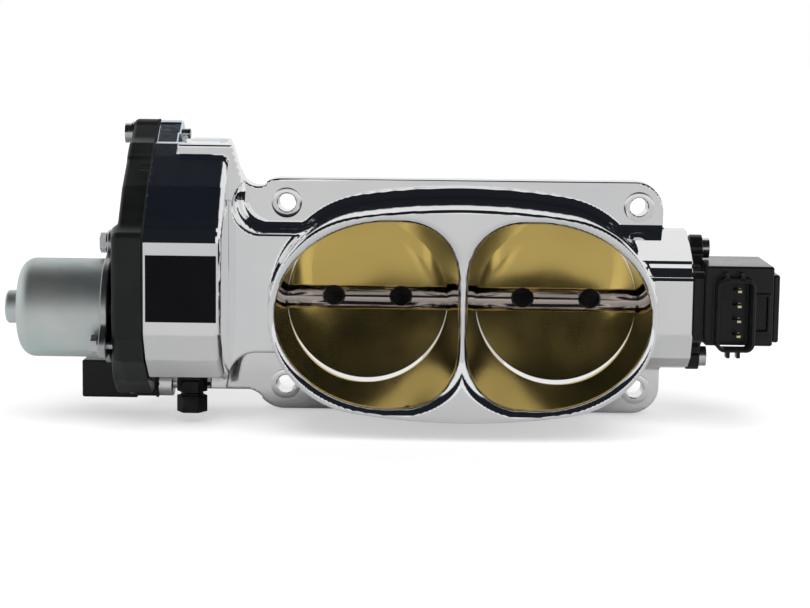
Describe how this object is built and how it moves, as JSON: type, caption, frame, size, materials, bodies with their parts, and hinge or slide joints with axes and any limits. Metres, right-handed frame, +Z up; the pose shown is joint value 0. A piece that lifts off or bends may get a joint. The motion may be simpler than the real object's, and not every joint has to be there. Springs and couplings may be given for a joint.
{
  "type": "electronic throttle body",
  "caption": "Electronic throttle body: oval intake snout, butterfly plates on a common shaft, rear bolt flange, motor gear case and shaft position sensor.",
  "frame": {"origin": "centre of the rear flange face, midway between the bores, at the height of the bore axes", "axes": "+X along the throttle shaft from the motor end to the sensor end, +Y along the air flow out of the rear flange into the manifold, +Z up"},
  "size_m": [0.2894, 0.075, 0.1136],
  "materials": {
    "throttle_housing": "mirror-polished cast aluminium",
    "cover_gasket": "moulded sealing sheet",
    "gear_cover": "black glass-filled nylon, satin",
    "cover_screws": "zinc-plated steel screws",
    "motor_terminals": "tinned brass blades",
    "motor_plate": "zinc-plated pressed steel",
    "motor_plate_screws": "zinc-plated hexagon-head screws",
    "motor_can": "zinc-plated deep-drawn steel, slightly iridescent",
    "motor_magnets": "grey sintered ferrite",
    "motor_brush_holder": "dark brown phenolic",
    "motor_brushes": "carbon",
    "motor_bearings": "sintered bronze",
    "shaft_bearings": "drawn-cup needle bearings",
    "shaft_bush": "sintered bronze",
    "shaft_seals": "black lip seals",
    "return_spring": "spring steel",
    "stop_screw": "black oxide steel",
    "stop_locknut": "black oxide steel",
    "idler_pin": "ground steel",
    "sensor_housing": "black glass-filled nylon, satin",
    "sensor_back_cover": "black nylon, satin",
    "sensor_screws": "zinc-plated steel screws",
    "sensor_terminals": "tinned brass pins",
    "sensor_gasket": "black rubber ring",
    "sensor_board": "green circuit board",
    "case_label": "plain gloss black plate",
    "throttle_shaft": "polished stainless steel",
    "throttle_plate_left": "satin brass",
    "throttle_plate_right": "satin brass",
    "plate_screws_left": "black oxide steel",
    "plate_screws_right": "black oxide steel",
    "throttle_gear": "natural acetal",
    "gear_nut": "steel, phosphated",
    "sensor_rotor": "natural acetal",
    "idler_gear": "natural acetal",
    "motor_shaft": "ground steel",
    "rotor_core": "steel laminations",
    "rotor_windings": "enamelled copper wire",
    "commutator": "copper bars",
    "motor_pinion": "turned brass"
  },
  "bodies": {
    "housing": {"throttle_housing": "throttle_housing", "cover_gasket": "cover_gasket", "gear_cover": "gear_cover", "cover_screws": "cover_screws", "motor_terminals": "motor_terminals", "motor_plate": "motor_plate", "motor_plate_screws": "motor_plate_screws", "motor_can": "motor_can", "motor_magnets": "motor_magnets", "motor_brush_holder": "motor_brush_holder", "motor_brushes": "motor_brushes", "motor_bearings": "motor_bearings", "shaft_bearings": "shaft_bearings", "shaft_bush": "shaft_bush", "shaft_seals": "shaft_seals", "return_spring": "return_spring", "stop_screw": "stop_screw", "stop_locknut": "stop_locknut", "idler_pin": "idler_pin", "sensor_housing": "sensor_housing", "sensor_back_cover": "sensor_back_cover", "sensor_screws": "sensor_screws", "sensor_terminals": "sensor_terminals", "sensor_gasket": "sensor_gasket", "sensor_board": "sensor_board", "case_label": "case_label"},
    "throttle": {"throttle_shaft": "throttle_shaft", "throttle_plate_left": "throttle_plate_left", "throttle_plate_right": "throttle_plate_right", "plate_screws_left": "plate_screws_left", "plate_screws_right": "plate_screws_right", "throttle_gear": "throttle_gear", "gear_nut": "gear_nut", "sensor_rotor": "sensor_rotor"},
    "idler": {"idler_gear": "idler_gear"},
    "rotor": {"motor_shaft": "motor_shaft", "rotor_core": "rotor_core", "rotor_windings": "rotor_windings", "commutator": "commutator", "motor_pinion": "motor_pinion"}
  },
  "joints": [
    {"name": "throttle_turn", "type": "hinge", "parent": "housing", "child": "throttle", "pos_m": [0, -0.02, 0], "axis": [-1, 0, 0], "range_deg": [-9, 72], "stiffness_Nm_per_rad": 0.4, "deforming": ["return_spring"]},
    {"name": "idler_turn", "type": "hinge", "parent": "housing", "child": "idler", "pos_m": [-0.118, -0.04121, 0.02122], "axis": [-1, 0, 0], "range_deg": [-218, 28]},
    {"name": "motor_turn", "type": "hinge", "parent": "housing", "child": "rotor", "pos_m": [-0.118, -0.048, -0.0018], "axis": [-1, 0, 0], "range_deg": [-109, 866]}
  ],
  "couplings": [
    {"joint": "idler_turn", "follows": "throttle_turn", "ratio": -3},
    {"joint": "motor_turn", "follows": "throttle_turn", "ratio": 12}
  ]
}
